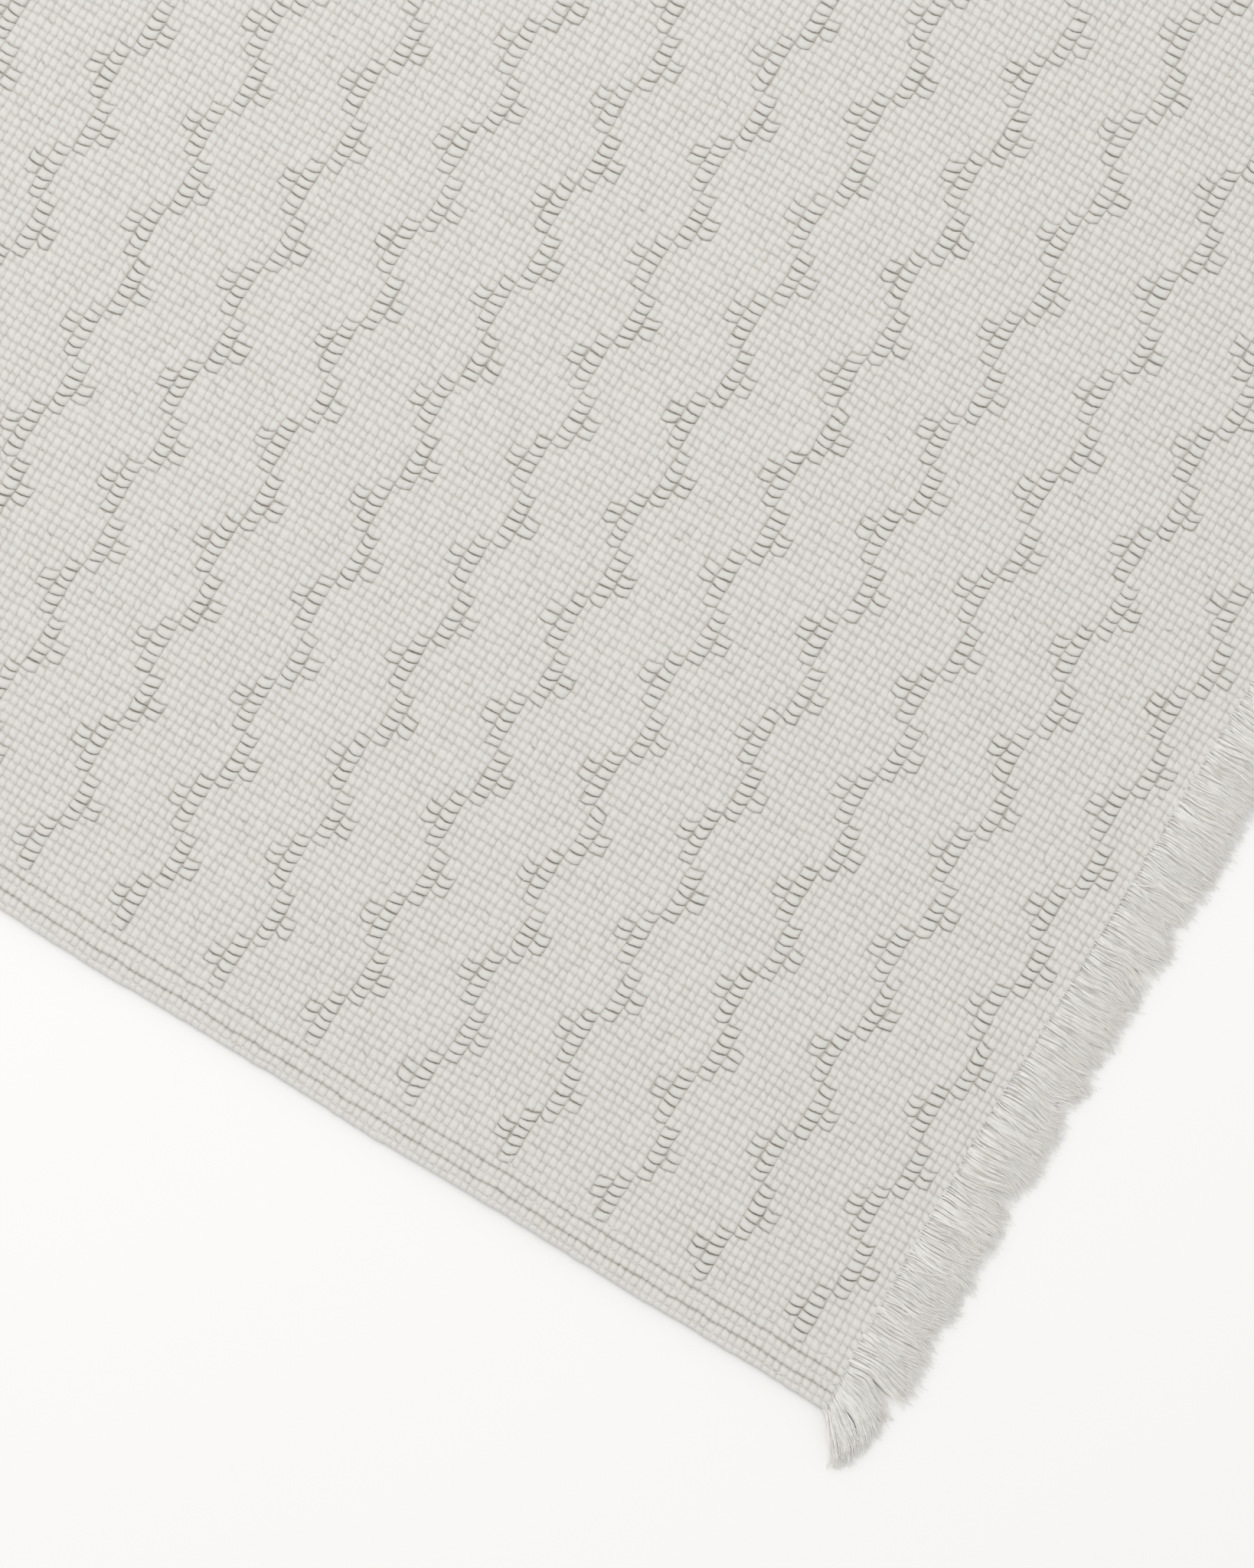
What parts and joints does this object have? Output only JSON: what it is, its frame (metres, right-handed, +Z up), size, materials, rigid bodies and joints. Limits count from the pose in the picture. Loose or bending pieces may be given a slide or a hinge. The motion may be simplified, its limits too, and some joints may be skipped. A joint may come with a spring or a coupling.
{
  "type": "bath mat",
  "caption": "Flat-woven cotton bath mat with zigzag lines of raised floats, firm selvedges, and a lock-stitched fringe with splayed corner tassels at both short ends.",
  "frame": {"origin": "on the floor under the middle of the mat", "axes": "+X along the mat's length, towards the fringe that the picture shows; +Y across its width, away from the selvedge that the picture shows; +Z up"},
  "size_m": [0.8276, 0.5321, 0.0044],
  "materials": {
    "weft_yarn": "soft unglazed cotton, thick multi-strand weft yarn, warm off-white",
    "binder_thread": "fine matt cotton thread, sunk in the grooves",
    "selvedge_thread": "fine matt cotton thread, set closely",
    "stitch_thread": "fine cotton sewing thread",
    "fringe_thread": "loose fine cotton warp ends, soft and slightly see-through at the tips"
  },
  "bodies": {
    "root": {"weft_group_01": "weft_yarn", "weft_group_02": "weft_yarn", "weft_group_03": "weft_yarn", "weft_group_04": "weft_yarn", "weft_group_05": "weft_yarn", "weft_group_06": "weft_yarn", "weft_group_07": "weft_yarn", "weft_group_08": "weft_yarn", "weft_group_09": "weft_yarn", "weft_group_10": "weft_yarn", "weft_group_11": "weft_yarn", "weft_group_12": "weft_yarn", "weft_group_13": "weft_yarn", "weft_group_14": "weft_yarn", "weft_group_15": "weft_yarn", "weft_group_16": "weft_yarn", "weft_group_17": "weft_yarn", "weft_group_18": "weft_yarn", "weft_group_19": "weft_yarn", "weft_group_20": "weft_yarn", "weft_group_21": "weft_yarn", "weft_group_22": "weft_yarn", "weft_group_23": "weft_yarn", "weft_group_24": "weft_yarn", "binder_warps_face": "binder_thread", "binder_warps_back": "binder_thread", "wave_floats": "weft_yarn", "selvedge_warps_near": "selvedge_thread", "selvedge_warps_far": "selvedge_thread", "lock_stitch_right": "stitch_thread", "lock_stitch_left": "stitch_thread", "fringe_right": "fringe_thread", "fringe_left": "fringe_thread", "corner_tassel_near_right": "fringe_thread", "corner_tassel_far_right": "fringe_thread", "corner_tassel_near_left": "fringe_thread", "corner_tassel_far_left": "fringe_thread"}
  },
  "joints": []
}
